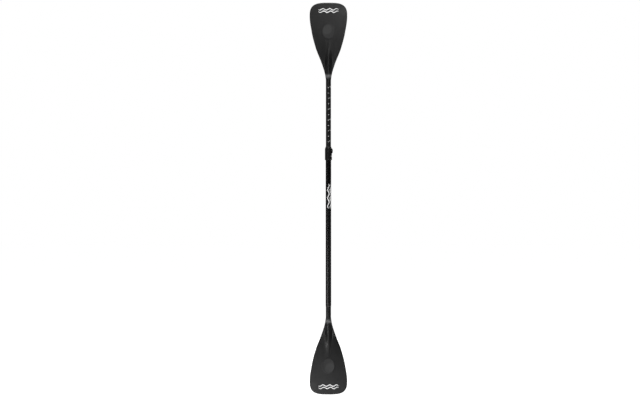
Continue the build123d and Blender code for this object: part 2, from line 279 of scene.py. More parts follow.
def cast(
    node: str, name: str, voxel: float, keep: float, extras: Sequence[Piece] = ()
) -> Piece:
    """A moulded version of a frame node: remeshed with softened edges, and thinned where it is flat.

    Args:
        node: the frame's node.
        name: the new piece's name.
        voxel: remesh size.
        keep: share of the faces that is kept.
        extras: closed shapes that become part of the moulding.

    Returns:
        The piece.
    """
    hold(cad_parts[node])
    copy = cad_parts[node].copy()
    copy.data = copy.data.copy()
    bpy.context.collection.objects.link(copy)
    copy.parent = None
    for key in list(copy.keys()):
        del copy[key]
    hold(copy)
    bpy.ops.mesh.customdata_custom_splitnormals_clear()
    take(name)
    with editing(copy):
        bpy.ops.mesh.select_all(action="SELECT")
        bpy.ops.mesh.remove_doubles(threshold=0.002 * MM)
    piece = join([copy, *extras], name) if extras else copy
    remesh = piece.modifiers.new("moulding", "REMESH")
    remesh.mode = "VOXEL"
    remesh.voxel_size = voxel
    soften = piece.modifiers.new("soften", "SMOOTH")
    soften.factor = 0.5
    soften.iterations = 3
    thin = piece.modifiers.new("thin", "DECIMATE")
    thin.ratio = keep
    return settle(piece, angle=60.0)


# ---- materials


class Wire:
    """A shader socket that can be added, scaled and compared like a number."""

    def __init__(self, kit: "Kit", socket: bpy.types.NodeSocket) -> None:
        """Args: kit, the node builder; socket, the output that is wrapped."""
        self.kit = kit
        self.socket = socket

    @staticmethod
    def _operator(operation: str, swapped: bool = False) -> Callable[["Wire", "Wire | float"], "Wire"]:
        """One operator as a Math node, or its reflected form, which has the number first.

        Args:
            operation: the Math node's operation.
            swapped: whether this is the reflected form.

        Returns:
            The operator.
        """

        def run(self: "Wire", other: "Wire | float") -> "Wire":
            """Adds the Math node."""
            values = (other, self) if swapped else (self, other)
            return self.kit.node("ShaderNodeMath", {"operation": operation}, dict(enumerate(values)))

        return run

    __add__, __radd__ = _operator("ADD"), _operator("ADD", swapped=True)
    __sub__, __rsub__ = _operator("SUBTRACT"), _operator("SUBTRACT", swapped=True)
    __mul__, __rmul__ = _operator("MULTIPLY"), _operator("MULTIPLY", swapped=True)

    def between(self, low: float, high: float) -> "Wire":
        """Rises smoothly from 0 at low to 1 at high."""
        values = {0: self, 1: low, 2: high, 3: 0.0, 4: 1.0}
        return self.kit.node("ShaderNodeMapRange", {"interpolation_type": "SMOOTHSTEP"}, values)


class Kit:
    """Builds one material's nodes."""

    def __init__(self, name: str) -> None:
        """Starts a material with one principled shader.

        Args:
            name: the material's name.
        """
        self.material = bpy.data.materials.new(name)
        self.material.use_nodes = True
        self.tree = self.material.node_tree
        self.shader = self.tree.nodes["Principled BSDF"]

    def node(self, kind: str, settings: dict[str, Setting], inputs: dict, output: int | str = 0) -> Wire:
        """Adds a node, sets it and feeds it.

        Args:
            kind: Blender's node type.
            settings: properties that are set first.
            inputs: values or wires, by socket name or number.
            output: the output that is wanted.

        Returns:
            That output.
        """
        made = self.tree.nodes.new(kind)
        for key, value in settings.items():
            setattr(made, key, value)
        for key, value in inputs.items():
            if isinstance(value, Wire):
                self.tree.links.new(value.socket, made.inputs[key])
            else:
                made.inputs[key].default_value = value
        return Wire(self, made.outputs[output])

    def place(self, scale: Point = (1.0, 1.0, 1.0)) -> Wire:
        """Object coordinates, scaled along each axis."""
        raw = self.node("ShaderNodeTexCoord", {}, {}, "Object")
        return self.node("ShaderNodeMapping", {}, {"Vector": raw, "Scale": scale})

    def noise(self, where: Wire, scale: float, detail: float = 2.0, roughness: float = 0.5) -> Wire:
        """Soft noise from 0 to 1; scale is in waves to the metre."""
        values = {"Vector": where, "Scale": scale, "Detail": detail, "Roughness": roughness}
        return self.node("ShaderNodeTexNoise", {}, values)

    def along(self, axis: str, where: Wire) -> Wire:
        """One coordinate, named X, Y or Z."""
        return self.node("ShaderNodeSeparateXYZ", {}, {0: where}, axis)

    def colour(self, share: Wire, low: "Wire | Point", high: "Wire | Point") -> Wire:
        """A colour that runs from low, where share is 0, to high, where it is 1."""
        ends = [end if isinstance(end, Wire) else (*end, 1.0) for end in (low, high)]
        return self.node("ShaderNodeMix", {"data_type": "RGBA"}, {0: share, 6: ends[0], 7: ends[1]}, 2)

    def bump(self, height: Wire, depth: float) -> Wire:
        """A normal that follows a height from 0 to 1, where 1 stands for depth."""
        return self.node("ShaderNodeBump", {}, {"Height": height, "Distance": depth, "Strength": 1.0})

    def feed(self, **inputs: "Wire | Setting") -> Finish:
        """Feeds the shader, with underscores for the spaces in its sockets' names.

        Args:
            inputs: values or wires.

        Returns:
            The finished material.
        """
        for key, value in inputs.items():
            socket = self.shader.inputs[key.replace("_", " ")]
            if isinstance(value, Wire):
                self.tree.links.new(value.socket, socket)
            else:
                socket.default_value = value
        return self.material


@dataclass(frozen=True)
class TubeCoat:
    """Black coat on a drawn tube: long drawing lines, fine rub marks and a soft gloss."""

    name: str
    dark: Point  # the coat
    worn: Point  # the coat where it is rubbed
    gloss: float  # lowest roughness
    spread: float  # how much rougher it gets
    rub: float  # share of the surface with rub marks
    shine: float  # strength of the reflection

    def make(self) -> Finish:
        """Builds the material."""
        kit = Kit(self.name)
        lines = kit.noise(kit.place((1, 1, 0.012)), 900, 3, 0.6)
        patches = kit.noise(kit.place((1, 1, 0.25)), 28, 3, 0.55)
        rubs = kit.noise(kit.place((1, 1, 0.03)), 420, 2, 0.5).between(0.62 - self.rub, 0.74)
        worn = rubs * patches.between(0.42, 0.7)
        grain = kit.noise(kit.place(), 2600, 2, 0.5)
        return kit.feed(
            Base_Color=kit.colour(worn, self.dark, self.worn),
            Roughness=self.gloss + self.spread * patches + 0.08 * lines,
            Specular_IOR_Level=self.shine,
            Normal=kit.bump(0.6 * lines + 0.4 * grain, 0.004 * MM),
        )


@dataclass(frozen=True)
class BladeNylon:
    """Glass-filled nylon: flow marks, a fine grain and rub marks that gather at the tip, with painted light:
    lighter towards the tip, and painted highlights on the pad, at one corner and in a band round the sleeve.
    """

    name: str
    tip_z: float  # height of the blade's tip
    neck_z: float  # height of its neck
    pad_from_tip: float  # distance of the pad's middle from the tip
    pad_size: tuple[float, float]  # its half width and half height
    dark: Point = grey(0.002, 0.0021)  # the nylon near the neck, darker there as painted shade
    pale: Point = grey(0.0175, 0.0177)  # the nylon near the tip, lighter there as painted light
    matt: Point = grey(0.034, 0.0343)  # painted highlight on the pad, on its bright side and at one corner of the tip
    scuffed: Point = grey(0.04)  # rub marks
    greyed: Point = grey(0.13, 0.131)  # painted highlight in a band round the sleeve
    shoulder: float = 22 * MM  # from the mouth to the middle of that band
    band_end: float = 40 * MM  # from the mouth to its end
    bend_at: float = 105 * MM  # from the mouth to the blade's bend
    tilt: float = math.radians(7)  # the bend's angle
    # middle, to the pad's bright side and towards the tip, and size of the painted highlight on that side of
    # the pad
    rub: tuple[tuple[float, float], tuple[float, float]] = ((9 * MM, 16 * MM), (34 * MM, 38 * MM))
    # middle, from the blade's middle line and from the tip, and size of the painted highlight at one corner
    corner: tuple[tuple[float, float], tuple[float, float]] = ((-82 * MM, 48 * MM), (24 * MM, 30 * MM))

    def spot(
        self, kit: Kit, here: Wire, middle: tuple[float, float], size: tuple[float, float], edge: float
    ) -> Wire:
        """An oval mask on the blade.

        Args:
            kit: the node builder.
            here: object coordinates.
            middle: how far the oval is to the pad's bright side, and how far from the tip.
            size: its half width and half height.
            edge: where its edge starts to fade, as a share of its size.

        Returns:
            1 inside, 0 outside.
        """
        flip = 1 if self.neck_z > self.tip_z else -1
        across = (kit.along("X", here) - flip * middle[0]) * (1 / size[0])
        down = (kit.along("Z", here) - (self.tip_z + flip * middle[1])) * (1 / size[1])
        return 1 - (across * across + down * down).between(edge * edge, 1.0)

    def make(self) -> Finish:
        """Builds the material."""
        kit = Kit(self.name)
        here = kit.place()
        level = kit.along("Z", here)
        to_tip = (level - self.neck_z) * (1 / (self.tip_z - self.neck_z))
        flow = kit.noise(kit.place((1, 1, 0.18)), 46, 4, 0.6)
        cloud = kit.noise(here, 11, 3, 0.55)
        strand = kit.noise(kit.place((1, 1, 0.05)), 950, 2, 0.5).between(0.66, 0.76)
        patch = kit.noise(here, 24, 2, 0.5).between(0.48, 0.66)
        scuff = strand * patch * to_tip.between(0.3, 1.05)
        from_mouth = (level - self.neck_z) * (1 if self.tip_z > self.neck_z else -1)
        depth = kit.along("Y", here) + (from_mouth - self.bend_at) * math.tan(self.tilt)
        front = 1 - depth.between(-0.5 * MM, 0.5 * MM)
        # pad, rubbed and corner mask painted highlights on the shown face: the light on the pad, on its
        # bright side and at one corner near the tip
        pad = front * self.spot(kit, here, (0.0, self.pad_from_tip), self.pad_size, 0.75)
        (aside, lower), highlight_size = self.rub
        rubbed = self.spot(kit, here, (aside, self.pad_from_tip - lower), highlight_size, 0.1)
        corner = front * self.spot(kit, here, *self.corner, 0.2)
        # the colour runs mostly lighter towards the tip as painted light; the rest varies with the flow marks
        shade = (0.5 * flow + 0.5 * cloud).between(0.3, 0.7) * 0.35 + 0.65 * to_tip.between(0.1, 1.0)
        base = kit.colour(shade, self.dark, self.pale)
        # worn adds up those painted highlights; it is no wear
        worn = pad * 0.42 + pad * rubbed * 1.15 + corner * 0.45
        base = kit.colour(worn * (0.75 + 0.5 * flow), base, self.matt)
        base = kit.colour(scuff * 0.6, base, self.scuffed)
        # a band round the sleeve's shoulder gets a painted highlight in place of the light on its taper
        end = from_mouth.between(self.shoulder, self.band_end)
        band = from_mouth.between(-2 * MM, self.shoulder) * (1 - end)
        base = kit.colour(band * band * (0.7 + 0.4 * flow), base, self.greyed)
        grain = kit.noise(here, 1500, 3, 0.6)
        pits = kit.noise(here, 430, 2, 0.5)
        return kit.feed(
            Base_Color=base,
            Roughness=0.27 + 0.07 * cloud + 0.05 * grain + 0.05 * pad - 0.04 * scuff,
            Specular_IOR_Level=0.42,
            Normal=kit.bump(0.65 * grain + 0.35 * pits, 0.03 * MM),
        )


@dataclass(frozen=True)
class SparkPlastic:
    """Moulded plastic with the fine pitted skin of a spark-eroded mould."""

    name: str
    dark: Point  # the plastic
    rubbed: Point  # the plastic where it is handled
    roughness: float  # how dull it is
    pit: float = 0.05 * MM  # depth of the pits
    shine: float = 0.5  # strength of the reflection

    def make(self) -> Finish:
        """Builds the material."""
        kit = Kit(self.name)
        here = kit.place()
        pits = kit.node("ShaderNodeTexVoronoi", {"feature": "SMOOTH_F1"}, {"Vector": here, "Scale": 1500.0})
        haze = kit.noise(here, 70, 3, 0.6)
        grain = kit.noise(here, 3200, 2, 0.5)
        return kit.feed(
            Base_Color=kit.colour(haze.between(0.35, 0.75), self.dark, self.rubbed),
            Roughness=self.roughness + 0.12 * haze + 0.05 * grain,
            Specular_IOR_Level=self.shine,
            Normal=kit.bump(0.7 * pits + 0.3 * grain, self.pit),
        )


@dataclass(frozen=True)
class Steel:
    """Turned or pressed steel with fine tool lines."""

    name: str
    tone: Point  # its colour
    gloss: float  # lowest roughness
    lines: Point = (1.0, 0.05, 1.0)  # stretch of the tool lines along each axis

    def make(self) -> Finish:
        """Builds the material."""
        kit = Kit(self.name)
        tool = kit.noise(kit.place(self.lines), 2400, 2, 0.6)
        haze = kit.noise(kit.place(), 260, 3, 0.6)
        pale = tuple(min(1.0, 1.35 * part) for part in self.tone)
        return kit.feed(
            Base_Color=kit.colour(haze, self.tone, pale),
            Roughness=self.gloss + 0.14 * haze + 0.1 * tool,
            Metallic=1.0,
            Normal=kit.bump(tool, 0.008 * MM),
        )


@dataclass(frozen=True)
class Ink:
    """Pad-printed white ink, a little thin in places."""

    name: str
    tone: Point  # the ink where it is thick
    thin: Point  # the ink where it is thin
    wear: float  # share of the print that has rubbed thin

    def make(self) -> Finish:
        """Builds the material."""
        kit = Kit(self.name)
        here = kit.place()
        specks = kit.noise(here, 1900, 3, 0.6).between(0.7 - self.wear, 0.8)
        cloud = kit.noise(here, 120, 2, 0.5)
        return kit.feed(
            Base_Color=kit.colour(specks * cloud.between(0.3, 0.7), self.tone, self.thin),
            Roughness=0.42 + 0.15 * cloud,
            Normal=kit.bump(kit.noise(here, 2600, 2, 0.5), 0.01 * MM),
        )


@dataclass(frozen=True)
class CellFoam:
    """Closed-cell foam."""

    name: str
    tone: Point  # its colour

    def make(self) -> Finish:
        """Builds the material."""
        kit = Kit(self.name)
        cells = kit.node("ShaderNodeTexVoronoi", {}, {"Vector": kit.place(), "Scale": 900.0})
        pale = tuple(1.3 * part for part in self.tone)
        tone = kit.colour(cells, self.tone, pale)
        return kit.feed(Base_Color=tone, Roughness=0.92, Normal=kit.bump(cells, 0.2 * MM))


def dress(piece: Piece, material: Finish) -> None:
    """Gives a piece one material.

    Args:
        piece: the piece.
        material: its finish.
    """
    piece.data.materials.clear()
    piece.data.materials.append(material)


def seat(piece: Piece, body: Body, slot: str | None, finish: Finish, *nodes: str) -> None:
    """Puts a finished piece on its body with its finish.

    Args:
        piece: the piece.
        body: the body that it rides on.
        slot: the record's material slot, or None for ink; not used.
        finish: the material.
        nodes: frame nodes that it stands for.
    """
    dress(piece, finish)
    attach(piece, body.value)
    if nodes:
        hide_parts(*nodes)
    log.info("%s: %d faces on %s", piece.name, len(piece.data.polygons), body.value)


# ---- the blade


@dataclass
class Blade:
    """One moulded blade, drawn from the sleeve's mouth down to the tip and then turned into place."""

    node: str
    body: Body
    flip: int  # 1 if the tip points down, -1 if it is turned end for end

    # sleeve: bore, walls, and where its wall grows
    glue_gap: float = 0.05 * MM
    bore_depth: float = 95 * MM
    mouth_wall: float = 0.65 * MM
    sleeve_wall: float = 3.5 * MM
    shoulder: tuple[float, float] = (4 * MM, 20 * MM)
    # bend towards the shown face
    bend_at: float = 105 * MM
    bend_radius: float = 200 * MM
    tilt: float = math.radians(7)
    # sheet: half thickness by the bend, at the rim and at the tip, and the rim's rounding
    core: float = 4.5 * MM
    rim: float = 1.7 * MM
    tip_core: float = 1.8 * MM
    rim_round: float = 1.9 * MM
    # ridge that the sleeve fades into
    spine_end: float = 222 * MM
    spine_end_width: float = 24 * MM
    soft_from: float = 26 * MM
    # fillet between sleeve and sheet
    fillet: tuple[float, float] = (1.6 * MM, 7.0 * MM)
    fillet_grows: tuple[float, float] = (12 * MM, 45 * MM)
    fillet_fade: float = 4 * MM
    rim_fade: float = 6 * MM  # how near the rim the shown face's relief fades out
    # groove beside the ridge
    groove_gap: float = 4 * MM
    groove_starts: tuple[float, float] = (45 * MM, 85 * MM)
    groove_ends: tuple[float, float] = (150 * MM, 235 * MM)
    groove_depth: float = 1.3 * MM
    groove_width: float = 3.4 * MM
    # shallow oval pad
    pad_from_tip: float = 157 * MM
    pad_size: tuple[float, float] = (36.5 * MM, 43 * MM)
    pad_height: float = 0.5 * MM
    pad_dish: float = 1.0 * MM
    # rounded tip: exponent of its curve, and its share of the length
    tip_shape: float = 3.15
    tip_share: float = 0.182
    # how fine the grid is
    columns: int = 264
    rows: int = 132
    tip_rows: int = 44
    # side: points down the blade and out from its middle line, as shares of length and half width
    side: tuple[tuple[float, float], ...] = ((0.204, 0.343), (0.411, 0.673), (0.619, 0.892), (0.818, 1.0))

    button: str | None = None  # node of the button that comes through the sleeve
    hole_r: float = 4.15 * MM  # radius of its hole

    bore: float = field(init=False)  # radius of the bore
    length: float = field(init=False)  # from mouth to tip
    half: float = field(init=False)  # half of the greatest width
    mouth_z: float = field(init=False)  # height of the mouth

    def __post_init__(self) -> None:
        """Takes the blade's length, width and place from the frame."""
        low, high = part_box(self.node)
        self.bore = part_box("lower_stub_tube")[1].x + self.glue_gap
        self.length = high.z - low.z
        self.half = (high.x - low.x) / 2
        self.mouth_z = high.z if self.flip > 0 else low.z

    @property
    def sleeve_r(self) -> float:
        """Outer radius of the sleeve past its taper."""
        return self.bore + self.sleeve_wall

    @property
    def tip_start(self) -> float:
        """Distance from the mouth to the widest place, where the rounded tip starts."""
        return self.length * (1 - self.tip_share)

    def knots(self) -> list[tuple[float, float]]:
        """Distance from the mouth and half width of each point that the blade's side runs through."""
        neck = [(0.0, self.bore), (31 * MM, self.sleeve_r + 1.3 * MM)]
        return neck + [(self.length * down, self.half * across) for down, across in self.side]

    def width_at(self, down: float) -> float:
        """Half width of the outline, by a monotone cubic through the knots.

        Args:
            down: distance from the mouth, no further than the widest place.

        Returns:
            The half width.
        """
        knots = self.knots()
        steps = [(b[0] - a[0], b[1] - a[1]) for a, b in zip(knots, knots[1:])]
        slopes = [rise / run for run, rise in steps]
        turns = [slopes[0]]
        for before, after in zip(slopes, slopes[1:]):
            turns.append(2 * before * after / (before + after))
        turns.append(0.0)
        index = max(i for i in range(len(steps)) if down >= knots[i][0] - 1e-9)
        run = steps[index][0]
        t = held((down - knots[index][0]) / run)
        left, right = knots[index][1], knots[index + 1][1]
        return (
            (2 * t**3 - 3 * t**2 + 1) * left
            + (t**3 - 2 * t**2 + t) * run * turns[index]
            + (3 * t**2 - 2 * t**3) * right
            + (t**3 - t**2) * run * turns[index + 1]
        )

    def middle(self, down: float) -> float:
        """Depth of the sheet's middle: straight by the sleeve, then bent towards the shown face.

        Args:
            down: distance from the mouth.

        Returns:
            Depth, negative towards the shown face.
        """
        reach = self.bend_radius * math.tan(self.tilt / 2)
        past = down - (self.bend_at - reach)
        if past <= 0:
            return 0.0
        if past <= 2 * reach:
            return -(self.bend_radius - math.sqrt(self.bend_radius**2 - past**2))
        return -(down - self.bend_at) * math.tan(self.tilt)

    def fade(self, down: float) -> float:
        """How far the sleeve has sunk into the sheet: 0 at the bore's end, 1 at the ridge's end."""
        return held((down - self.bore_depth) / (self.spine_end - self.bore_depth))

    def spine(self, across: float, down: float) -> float:
        """Half thickness of the sleeve, and of the ridge that it fades into.

        Args:
            across, down: distance from the middle line, and from the mouth.

        Returns:
            Half thickness, 0 beside the spine.
        """
        swell = smooth_step(*self.shoulder, down)
        radius = self.bore + self.mouth_wall + (self.sleeve_wall - self.mouth_wall) * swell
        fade = self.fade(down)
        soft = smooth_step(self.soft_from, self.spine_end, down)
        width = radius + (self.spine_end_width - radius) * soft
        height = radius * (1 - fade) ** 1.35
        if abs(across) >= width:
            return 0.0
        return height * (1 - (across / width) ** 2) ** (0.5 + 1.6 * soft)

    def sheet(self, across: float, down: float, half: float, inward: float) -> float:
        """Half thickness of the blade's sheet, rounded off at its rim.

        Args:
            across, down: distance from the middle line, and from the mouth.
            half, inward: half width of the outline there, and distance from it.

        Returns:
            Half thickness.
        """
        run = max(down - self.bend_at, 0.0) / (self.length - self.bend_at)
        core = self.core + (self.tip_core - self.core) * run
        lens = core + (min(self.rim, core) - core) * (across / half) ** 2
        edge = min(inward / self.rim_round, 1.0)
        return lens * math.sqrt(max(1 - (1 - edge) ** 2, 0.0))

    def relief(self, across: float, down: float) -> float:
        """What the shown face has besides: a groove beside the spine and a shallow oval pad.

        Args:
            across: distance from the middle line, positive to the groove's side.
            down: distance from the mouth.

        Returns:
            Height over the plain face.
        """
        fade = self.fade(down)
        centre = self.sleeve_r * (1 - fade) + self.groove_gap
        along = smooth_step(*self.groove_starts, down) * (1 - smooth_step(*self.groove_ends, down))
        groove = math.exp(-(((across - centre) / self.groove_width) ** 2)) * along * self.groove_depth
        pad_x = across / self.pad_size[0]
        pad_s = (down - (self.length - self.pad_from_tip)) / self.pad_size[1]
        from_middle = math.hypot(pad_x, pad_s)
        pad = (1 - smooth_step(0.93, 1.0, from_middle)) * self.pad_height
        dish = max(1 - from_middle**2, 0.0) * self.pad_dish
        return pad - dish - groove

    def face(self, across: float, down: float, half: float, inward: float, shown: bool) -> float:
        """Depth of the blade's skin.

        Args:
            across, down: distance from the middle line, and from the mouth.
            half, inward: half width of the outline there, and distance from it.
            shown: whether this is the shown face or the back.

        Returns:
            Depth, negative towards the shown face.
        """
        sheet = self.sheet(across, down, half, inward)
        small, large = self.fillet
        fillet = small + (large - small) * smooth_step(*self.fillet_grows, down)
        blend = fillet * min(inward / self.fillet_fade, 1.0)
        thickness = smooth_max(sheet, self.spine(across, down), blend)
        if shown:
            thickness += self.relief(across, down) * min(inward / self.rim_fade, 1.0)
            return self.middle(down) - thickness
        return self.middle(down) + thickness

    def tip_drop(self, across: float) -> float:
        """How far the rounded tip reaches past the widest place."""
        share = min(abs(across) / self.half, 1.0)
        return self.length * self.tip_share * (1 - share**self.tip_shape) ** (1 / self.tip_shape)

    def spot(self, turn: float, row: float) -> Point:
        """Where a point of the skin lies, in the blade's own frame.

        Args:
            turn: angle round the section, 0 on one rim and half a turn on the other.
            row: 0 at the mouth, 1 at the widest place, 2 at the tip.

        Returns:
            Across, depth and distance from the mouth.
        """
        share = math.cos(turn)
        if row <= 1:
            down = self.tip_start * row
            half = self.width_at(down)
            across = half * share
            inward = half - abs(across)
        else:
            past = row - 1
            corner = 0.5 ** (1 / self.tip_shape)
            angle = past * math.pi / 4
            ends = (math.cos(angle) ** (2 / self.tip_shape), math.sin(angle) ** (2 / self.tip_shape))
            half = self.half * ends[0]
            across = half * share
            corner_drop = self.length * self.tip_share * corner
            last = self.tip_drop(self.half * corner * share) - corner_drop
            drop = self.length * self.tip_share * ends[1] + last * past**2
            down = self.tip_start + drop
            inward = min(half - abs(across), self.tip_drop(across) - drop)
        depth = self.face(across, down, half, max(inward, 0.0), turn < math.pi)
        return across, depth, down

    def settle_row(self, share: float) -> float:
        """Spaces the rows: even down to the widest place, then closer and closer to the tip.

        Args:
            share: 0 to 1 down the grid.

        Returns:
            The row, 0 to 2.
        """
        straight = self.rows / (self.rows + self.tip_rows)
        if share <= straight:
            return share / straight
        past = (share - straight) / (1 - straight)
        return 1 + (1 - (1 - past) ** 2.2)

    def to_world(self, across: float, depth: float, down: float) -> Vector:
        """Turns the blade's own frame into the shaft's."""
        return Vector((self.flip * across, depth, self.mouth_z - self.flip * down))

    def build(self, finish: Finish) -> Piece:
        """Models the blade: a grid wrapped into its skin, then a bore let into the mouth.

        Args:
            finish: the blade's material.

        Returns:
            The piece.
        """
        clear()
        rows = self.rows + self.tip_rows
        bpy.ops.mesh.primitive_grid_add(x_subdivisions=self.columns, y_subdivisions=rows, size=2)
        piece = take(self.node + "_moulding")
        for vertex in piece.data.vertices:
            turn = math.pi * (vertex.co.x + 1)
            row = self.settle_row((vertex.co.y + 1) / 2)
            vertex.co = self.to_world(*self.spot(turn, row))
        tidy(piece, 0.004 * MM)
        mouth = self.mouth_z
        ring = self.bore + 0.2 * MM
        outer = self.bore + self.mouth_wall
        with editing(piece):
            pick(piece, "EDGE", lambda edge: edge.is_boundary)
            for radius, down in ((ring, 0.0), (self.bore, 0.4 * MM), (self.bore, self.bore_depth)):
                level = mouth - self.flip * down
                now = bmesh.from_edit_mesh(piece.data)
                before = next(vertex.co.z for vertex in now.verts if vertex.select)
                bpy.ops.mesh.extrude_region_move(TRANSFORM_OT_translate={"value": (0, 0, level - before)})
                factor = radius / outer
                bpy.ops.transform.resize(value=(factor, factor, 1), center_override=(0, 0, level))
                outer = radius
            bpy.ops.mesh.edge_face_add()
            bpy.ops.mesh.select_all(action="SELECT")
            bpy.ops.mesh.normals_make_consistent(inside=False)
        if self.button:
            self.drill(piece)
        settle(piece, angle=35.0)
        seat(piece, self.body, "blade_plastic", finish, self.node)
        return piece

    def drill(self, piece: Piece) -> None:
        """Drills the button's hole through the back of the sleeve.

        Args:
            piece: the blade.
        """
        low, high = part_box(self.button)
        reach = 2 * self.sleeve_r
        clear()
        bpy.ops.mesh.primitive_cylinder_add(
            vertices=48,
            radius=self.hole_r,
            depth=reach,
            location=(0, reach / 2, (low.z + high.z) / 2),
            rotation=(math.pi / 2, 0, 0),
        )
        drill = take("drill")
        hold(piece)
        cut = piece.modifiers.new("button_hole", "BOOLEAN")
        cut.object = drill
        cut.operation = "DIFFERENCE"
        cut.solver = "EXACT"
        bpy.ops.object.modifier_apply(modifier=cut.name)
        bpy.data.objects.remove(drill, do_unlink=True)

    def print_point(self, across: float, down: float, lift: float) -> Vector:
        """A point just over the shown face.

        Args:
            across, down: distance from the middle line, and from the mouth.
            lift: how far it stands off the face.

        Returns:
            The point.
        """
        half = self.width_at(min(down, self.tip_start))
        depth = self.face(across, down, half, 20 * MM, True)
        return self.to_world(across, depth - lift, down)


# ---- prints


@dataclass
class WaveMark:
    """A plain printed mark: two bold waves, one over the other, with tapered ends."""

    length: float  # from end to end
    height: float  # over both waves
    waves: float = 3.0  # crests along the mark
    swing: float = 4.0 * MM  # half the height of a wave's swing
    stroke: float = 5.2 * MM  # thickness of a stroke
    steps: int = 72  # points along a stroke
    strips: int = 6  # faces across a stroke
    shift: float = 0.35  # how far the waves are out of step, as an angle
    lift: float = 0.12 * MM  # how far the ink's middle stands off its surface
    ink_depth: float = 0.1 * MM  # the ink's thickness

    def build(self, name: str, body: Body, ink: Finish, lay: Callable[[float, float, float], Vector]) -> None:
        """Models the mark's strokes as grids, lays them on a surface and makes them thin plates.

        Args:
            name: the piece's name.
            body: the body that it rides on.
            ink: the ink.
            lay: turns a place in the mark, along and up, and the lift into a point.
        """
        strokes = []
        for side in (-1, 1):
            clear()
            bpy.ops.mesh.primitive_grid_add(x_subdivisions=self.steps, y_subdivisions=self.strips, size=2)
            stroke = take(f"{name}_{side}")
            for vertex in stroke.data.vertices:
                share, height = vertex.co.x, vertex.co.y
                along = share * self.length / 2
                taper = math.sqrt(1 - abs(share) ** 5)
                wave = math.sin(math.pi * self.waves * share + side * self.shift)
                middle = side * (self.height - self.stroke - 2 * self.swing) / 2 + self.swing * wave
                up = middle + height * self.stroke / 2 * taper
                vertex.co = lay(along, up, self.lift)
            strokes.append(stroke)
        mark = join(strokes, name)
        tidy(mark)
        film(mark, self.ink_depth)
        seat(mark, body, None, ink)


@dataclass
class LengthScale:
    """Printed length scale on the sliding tube: a tick at each mark, a figure at every second one."""

    radius: float  # the tube's
    first: float  # height of the lowest mark
    zero_length: float  # the paddle's length at the lowest mark
    pitch: float = 29.6 * MM  # from mark to mark
    count: int = 11  # how many marks
    tick: tuple[float, float] = (5.4 * MM, 3.4 * MM)  # width and height of a tick
    corner: float = 0.5 * MM  # how much of a tick's corners is cut off
    figure: float = 7.6 * MM  # size of a figure
    # place of a figure, round the tube and up from its mark
    figure_at: tuple[float, float] = (11.2 * MM, 3.552 * MM)
    lift: float = 0.06 * MM  # how far the ink's middle stands off the tube
    ink_depth: float = 0.08 * MM  # the ink's thickness
    cut_every: float = 0.9 * MM  # width of the strips that bend round the tube

    def wrap(self, piece: Piece) -> None:
        """Cuts a flat print into narrow strips and bends it round the tube.

        Args:
            piece: a flat mesh, with x round the tube and z along it.
        """
        low = min(vertex.co.x for vertex in piece.data.vertices)
        high = max(vertex.co.x for vertex in piece.data.vertices)
        with editing(piece):
            for step in range(1, int((high - low) / self.cut_every) + 1):
                bpy.ops.mesh.select_all(action="SELECT")
                bpy.ops.mesh.bisect(plane_co=(low + step * self.cut_every, 0, 0), plane_no=(1, 0, 0))
        radius = self.radius + self.lift
        for vertex in piece.data.vertices:
            angle = vertex.co.x / self.radius
            vertex.co = (radius * math.sin(angle), -radius * math.cos(angle), vertex.co.z)

    def tick_mark(self, level: float) -> Piece:
        """One tick, a small plate with its corners cut."""
        clear()
        bpy.ops.mesh.primitive_plane_add(size=1, rotation=(math.pi / 2, 0, 0), location=(0, 0, level))
        tick = take("tick")
        tick.scale = (*self.tick, 1)
        apply(tick)
        with editing(tick):
            bpy.ops.mesh.select_all(action="SELECT")
            bpy.ops.mesh.bevel(offset=self.corner, segments=3, affect="VERTICES")
        return tick

    def number(self, level: float) -> Piece:
        """The paddle's length in centimetres at one mark, as a flat mesh."""
        reach = round((self.zero_length - (level - self.first)) * 100)
        clear()
        across, up = self.figure_at
        bpy.ops.object.text_add(rotation=(math.pi / 2, 0, 0), location=(across, 0, level + up))
        text = bpy.context.object
        text.data.body = str(reach)
        text.data.size = self.figure
        text.data.align_x = text.data.align_y = "CENTER"
        bpy.ops.object.convert(target="MESH")
        number = take("number")
        apply(number)
        return number

    def build(self, ink: Finish, faint: Finish) -> None:
        """Models the ticks and the figures.

        Args:
            ink: the ticks' ink.
            faint: the figures' ink.
        """
        levels = [self.first + self.pitch * index for index in range(self.count)]
        ticks = join([self.tick_mark(level) for level in levels], "scale_ticks")
        numbers = join([self.number(level) for level in levels[::2]], "scale_numbers")
        for piece, finish in ((ticks, ink), (numbers, faint)):
            self.wrap(piece)
            film(piece, self.ink_depth)
            seat(piece, Body.UPPER, None, finish)


# ---- shaft and clamp


